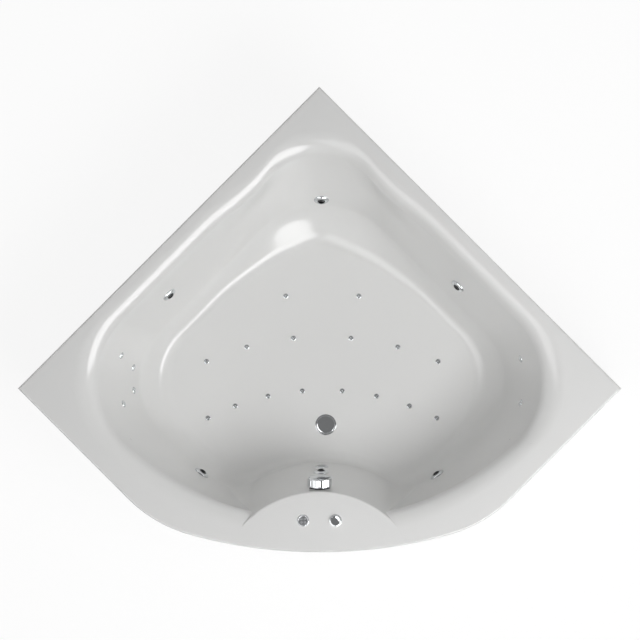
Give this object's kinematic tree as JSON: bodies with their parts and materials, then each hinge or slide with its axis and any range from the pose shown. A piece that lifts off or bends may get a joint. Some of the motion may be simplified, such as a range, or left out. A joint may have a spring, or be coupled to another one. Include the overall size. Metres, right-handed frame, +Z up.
{
  "type": "corner bathtub",
  "caption": "Jetted corner bath with a curved front, swivelling jets, floor air nozzles, overflow knob, lift-up waste and deck controls, on a steel frame with a panel.",
  "frame": {"origin": "on the room floor under the middle of the bath", "axes": "+X along the curved front to the right as seen by someone who faces the corner, +Y into the corner of the room, +Z up"},
  "size_m": [1.9798, 1.527, 0.591],
  "materials": {
    "acrylic": "white sanitary acrylic, glass-fibre backed",
    "chrome": "polished chrome plate",
    "silver_plastic": "chromed plastic",
    "key_plastic": "grey moulded keys",
    "black_plastic": "black moulded plastic",
    "white_plastic": "white moulded plastic",
    "pipe_plastic": "light grey pressure pipe",
    "hose": "grey flexible hose",
    "rubber": "black rubber",
    "zinc_steel": "zinc-plated steel",
    "pump_plastic": "dark moulded pump housing",
    "motor_paint": "painted cast aluminium",
    "board": "raw board and timber"
  },
  "bodies": {
    "bath": {"air_nozzles": "silver_plastic", "blower": "black_plastic", "control_box": "black_plastic", "deck_board": "board", "deck_nuts": "white_plastic", "floor_air_pipe": "pipe_plastic", "floor_board": "board", "foot_nuts": "zinc_steel", "foot_pads": "black_plastic", "foot_studs": "zinc_steel", "front_panel": "acrylic", "injector_bodies": "white_plastic", "jet_bodies": "white_plastic", "jet_gaskets": "rubber", "jet_nuts": "black_plastic", "keypad_housing": "silver_plastic", "micro_hoses": "hose", "micro_jet_bodies": "white_plastic", "micro_jets": "silver_plastic", "overflow_body": "white_plastic", "overflow_pipe": "pipe_plastic", "panel_clips": "zinc_steel", "pump_base": "pump_plastic", "pump_housing": "pump_plastic", "pump_motor": "motor_paint", "regulator_body": "white_plastic", "suction_body": "white_plastic", "suction_cover": "chrome", "suction_pipe": "pipe_plastic", "support_frame": "zinc_steel", "tub_shell": "acrylic", "union_nuts": "black_plastic", "venturi_pipe": "pipe_plastic", "waste_body": "white_plastic", "waste_cable": "rubber", "waste_flange": "chrome", "waste_seal": "rubber", "waste_trap": "white_plastic", "water_manifold": "pipe_plastic", "wood_blocks": "board"},
    "knob": {"overflow_knob": "chrome"},
    "plug": {"waste_plug": "chrome", "plug_seal": "rubber"},
    "air_knob": {"regulator_knob": "chrome"},
    "ring_apex": {"jet_ring_apex": "chrome"},
    "nozzle_apex": {"jet_nozzle_apex": "black_plastic"},
    "ring_left": {"jet_ring_left": "chrome"},
    "nozzle_left": {"jet_nozzle_left": "black_plastic"},
    "ring_right": {"jet_ring_right": "chrome"},
    "nozzle_right": {"jet_nozzle_right": "black_plastic"},
    "ring_front_left": {"jet_ring_front_left": "chrome"},
    "nozzle_front_left": {"jet_nozzle_front_left": "black_plastic"},
    "ring_front_right": {"jet_ring_front_right": "chrome"},
    "nozzle_front_right": {"jet_nozzle_front_right": "black_plastic"},
    "ring_island": {"jet_ring_island": "chrome"},
    "nozzle_island": {"jet_nozzle_island": "black_plastic"},
    "key_1": {"keypad_key_1": "key_plastic"},
    "key_2": {"keypad_key_2": "key_plastic"},
    "key_3": {"keypad_key_3": "key_plastic"},
    "key_4": {"keypad_key_4": "key_plastic"}
  },
  "joints": [
    {"name": "overflow_turn", "type": "hinge", "parent": "bath", "child": "knob", "pos_m": [0, -0.53429, 0.52377], "axis": [0, 0.9763, 0.2164], "range_deg": [0, 75]},
    {"name": "plug_lift", "type": "slide", "parent": "bath", "child": "plug", "axis": [0, 0, 1], "range_m": [0, 0.01]},
    {"name": "air_knob_turn", "type": "hinge", "parent": "bath", "child": "air_knob", "pos_m": [0.053, -0.659, 0.585], "axis": [0, 0, 1], "range_deg": [0, 270]},
    {"name": "ring_turn_apex", "type": "hinge", "parent": "bath", "child": "ring_apex", "pos_m": [0, 0.39747, 0.26265], "axis": [0, -0.8921, 0.4519], "range_deg": [0, 90]},
    {"name": "nozzle_tilt_apex", "type": "hinge", "parent": "ring_apex", "child": "nozzle_apex", "pos_m": [0, 0.39747, 0.26265], "axis": [1, 0, 0], "range_deg": [-15, 15]},
    {"name": "ring_turn_left", "type": "hinge", "parent": "bath", "child": "ring_left", "pos_m": [-0.4996, 0.0826, 0.40277], "axis": [0.6725, -0.6725, 0.309], "range_deg": [0, 90]},
    {"name": "nozzle_tilt_left", "type": "hinge", "parent": "ring_left", "child": "nozzle_left", "pos_m": [-0.4996, 0.0826, 0.40277], "axis": [0.7071, 0.7071, 0], "range_deg": [-15, 15]},
    {"name": "ring_turn_right", "type": "hinge", "parent": "bath", "child": "ring_right", "pos_m": [0.4536, 0.1106, 0.3636], "axis": [-0.6725, -0.6725, 0.309], "range_deg": [0, 90]},
    {"name": "nozzle_tilt_right", "type": "hinge", "parent": "ring_right", "child": "nozzle_right", "pos_m": [0.4536, 0.1106, 0.3636], "axis": [0.7071, -0.7071, 0], "range_deg": [-15, 15]},
    {"name": "ring_turn_front_left", "type": "hinge", "parent": "bath", "child": "ring_front_left", "pos_m": [-0.39765, -0.51053, 0.25907], "axis": [0.5742, 0.7864, 0.2277], "range_deg": [0, 90]},
    {"name": "nozzle_tilt_front_left", "type": "hinge", "parent": "ring_front_left", "child": "nozzle_front_left", "pos_m": [-0.39765, -0.51053, 0.25907], "axis": [-0.8076, 0.5897, 0], "range_deg": [-15, 15]},
    {"name": "ring_turn_front_right", "type": "hinge", "parent": "bath", "child": "ring_front_right", "pos_m": [0.38466, -0.51652, 0.24719], "axis": [-0.5659, 0.7941, 0.222], "range_deg": [0, 90]},
    {"name": "nozzle_tilt_front_right", "type": "hinge", "parent": "ring_front_right", "child": "nozzle_front_right", "pos_m": [0.38466, -0.51652, 0.24719], "axis": [-0.8144, -0.5803, 0], "range_deg": [-15, 15]},
    {"name": "ring_turn_island", "type": "hinge", "parent": "bath", "child": "ring_island", "pos_m": [0, -0.50669, 0.31796], "axis": [0, 0.9763, 0.2164], "range_deg": [0, 90]},
    {"name": "nozzle_tilt_island", "type": "hinge", "parent": "ring_island", "child": "nozzle_island", "pos_m": [0, -0.50669, 0.31796], "axis": [1, 0, 0], "range_deg": [-15, 15]},
    {"name": "key_press_1", "type": "slide", "parent": "bath", "child": "key_1", "axis": [0, 0, -1], "range_m": [0, 0.0008], "stiffness_N_per_m": 900},
    {"name": "key_press_2", "type": "slide", "parent": "bath", "child": "key_2", "axis": [0, 0, -1], "range_m": [0, 0.0008], "stiffness_N_per_m": 900},
    {"name": "key_press_3", "type": "slide", "parent": "bath", "child": "key_3", "axis": [0, 0, -1], "range_m": [0, 0.0008], "stiffness_N_per_m": 900},
    {"name": "key_press_4", "type": "slide", "parent": "bath", "child": "key_4", "axis": [0, 0, -1], "range_m": [0, 0.0008], "stiffness_N_per_m": 900}
  ],
  "couplings": [
    {"joint": "plug_lift", "follows": "overflow_turn", "m_per_rad": 0.0076}
  ]
}
